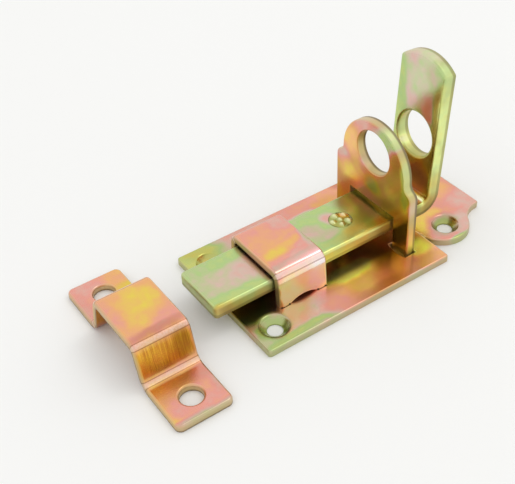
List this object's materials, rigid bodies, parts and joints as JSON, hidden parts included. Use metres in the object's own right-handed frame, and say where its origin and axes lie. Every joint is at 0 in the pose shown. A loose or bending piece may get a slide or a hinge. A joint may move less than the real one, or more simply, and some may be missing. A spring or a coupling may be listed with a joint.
{
  "type": "padlock bolt",
  "caption": "Flat bar bolt sliding on a screwed base plate, locked by a padlock through two lugs, with a separate keeper.",
  "frame": {"origin": "on the back of the base plate, on the centre line, midway along the plate's length", "axes": "+X from the bolt's tip to its handle, +Y across, +Z away from the door, out of the plate's front"},
  "size_m": [0.1069, 0.0548, 0.0486],
  "materials": {
    "base_plate": "yellow zinc passivate, glossy, iridescent",
    "guide_strap": "yellow zinc passivate, glossy, iridescent",
    "padlock_lug": "yellow zinc passivate, glossy, iridescent",
    "sliding_bolt": "yellow zinc passivate, glossy, iridescent",
    "stop_rivet": "yellow zinc passivate, glossy, iridescent",
    "keeper": "yellow zinc passivate, glossy, iridescent"
  },
  "bodies": {
    "root": {"base_plate": "base_plate", "guide_strap": "guide_strap", "padlock_lug": "padlock_lug", "keeper": "keeper"},
    "bolt": {"sliding_bolt": "sliding_bolt", "stop_rivet": "stop_rivet"}
  },
  "joints": [
    {"name": "bolt_slide", "type": "slide", "parent": "root", "child": "bolt", "axis": [1, 0, 0], "range_m": [-0.009, 0.0066]}
  ]
}
